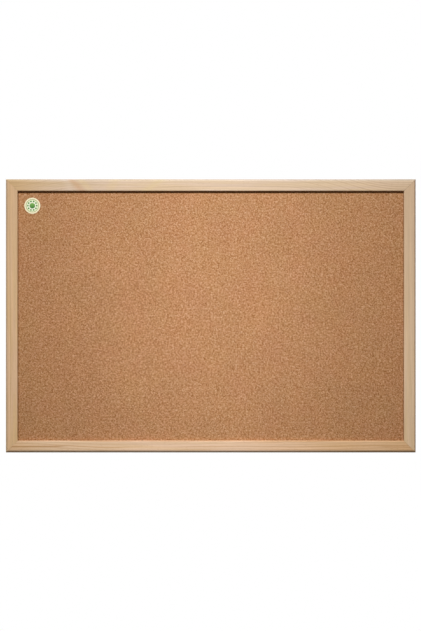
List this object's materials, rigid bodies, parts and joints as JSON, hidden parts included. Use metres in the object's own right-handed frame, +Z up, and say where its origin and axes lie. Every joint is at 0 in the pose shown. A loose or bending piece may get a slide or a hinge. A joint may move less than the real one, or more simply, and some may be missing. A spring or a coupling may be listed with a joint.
{
  "type": "framed cork notice board",
  "caption": "Flat rectangular pin board: a pale wood frame around a recessed cork sheet on layered backing, hung on a wall from behind by folded straps with swinging D-shaped rings.",
  "frame": {"origin": "middle of the top rail's back face, which lies towards the wall", "axes": "+X along the board's length towards a reader's right, +Y out of the back towards the wall, +Z up"},
  "size_m": [0.9, 0.0211, 0.6],
  "materials": {
    "pine": "satin",
    "cork": "matte",
    "fibreboard": "matte",
    "hardboard": "matte",
    "zinc_steel": "satin",
    "dark_steel": "satin",
    "rubber": "matte",
    "paper": "satin"
  },
  "bodies": {
    "board": {"top_rail": "pine", "bottom_rail": "pine", "left_stile": "pine", "right_stile": "pine", "cork_sheet": "cork", "fibreboard_core": "fibreboard", "hardboard_back": "hardboard", "round_label": "paper", "wedge_nail_top_left_outer": "dark_steel", "wedge_nail_top_left_inner": "dark_steel", "wedge_nail_top_right_outer": "dark_steel", "wedge_nail_top_right_inner": "dark_steel", "wedge_nail_bottom_left_outer": "dark_steel", "wedge_nail_bottom_left_inner": "dark_steel", "wedge_nail_bottom_right_outer": "dark_steel", "wedge_nail_bottom_right_inner": "dark_steel", "top_point_1": "zinc_steel", "top_point_2": "zinc_steel", "top_point_3": "zinc_steel", "top_point_4": "zinc_steel", "top_point_5": "zinc_steel", "top_point_6": "zinc_steel", "bottom_point_1": "zinc_steel", "bottom_point_2": "zinc_steel", "bottom_point_3": "zinc_steel", "bottom_point_4": "zinc_steel", "bottom_point_5": "zinc_steel", "bottom_point_6": "zinc_steel", "left_point_1": "zinc_steel", "left_point_2": "zinc_steel", "left_point_3": "zinc_steel", "left_point_4": "zinc_steel", "right_point_1": "zinc_steel", "right_point_2": "zinc_steel", "right_point_3": "zinc_steel", "right_point_4": "zinc_steel", "left_hanger_strap": "zinc_steel", "left_hanger_screw_upper": "zinc_steel", "left_hanger_screw_lower": "zinc_steel", "right_hanger_strap": "zinc_steel", "right_hanger_screw_upper": "zinc_steel", "right_hanger_screw_lower": "zinc_steel", "left_bumper_upper": "rubber", "left_bumper_lower": "rubber", "right_bumper_upper": "rubber", "right_bumper_lower": "rubber"},
    "left_ring": {"left_hanger_ring": "zinc_steel"},
    "right_ring": {"right_hanger_ring": "zinc_steel"}
  },
  "joints": [
    {"name": "left_ring_swing", "type": "hinge", "parent": "board", "child": "left_ring", "pos_m": [-0.441, 0.00195, -0.081], "axis": [1, 0, 0], "range_deg": [0, 179]},
    {"name": "right_ring_swing", "type": "hinge", "parent": "board", "child": "right_ring", "pos_m": [0.441, 0.00195, -0.081], "axis": [1, 0, 0], "range_deg": [0, 179]}
  ]
}
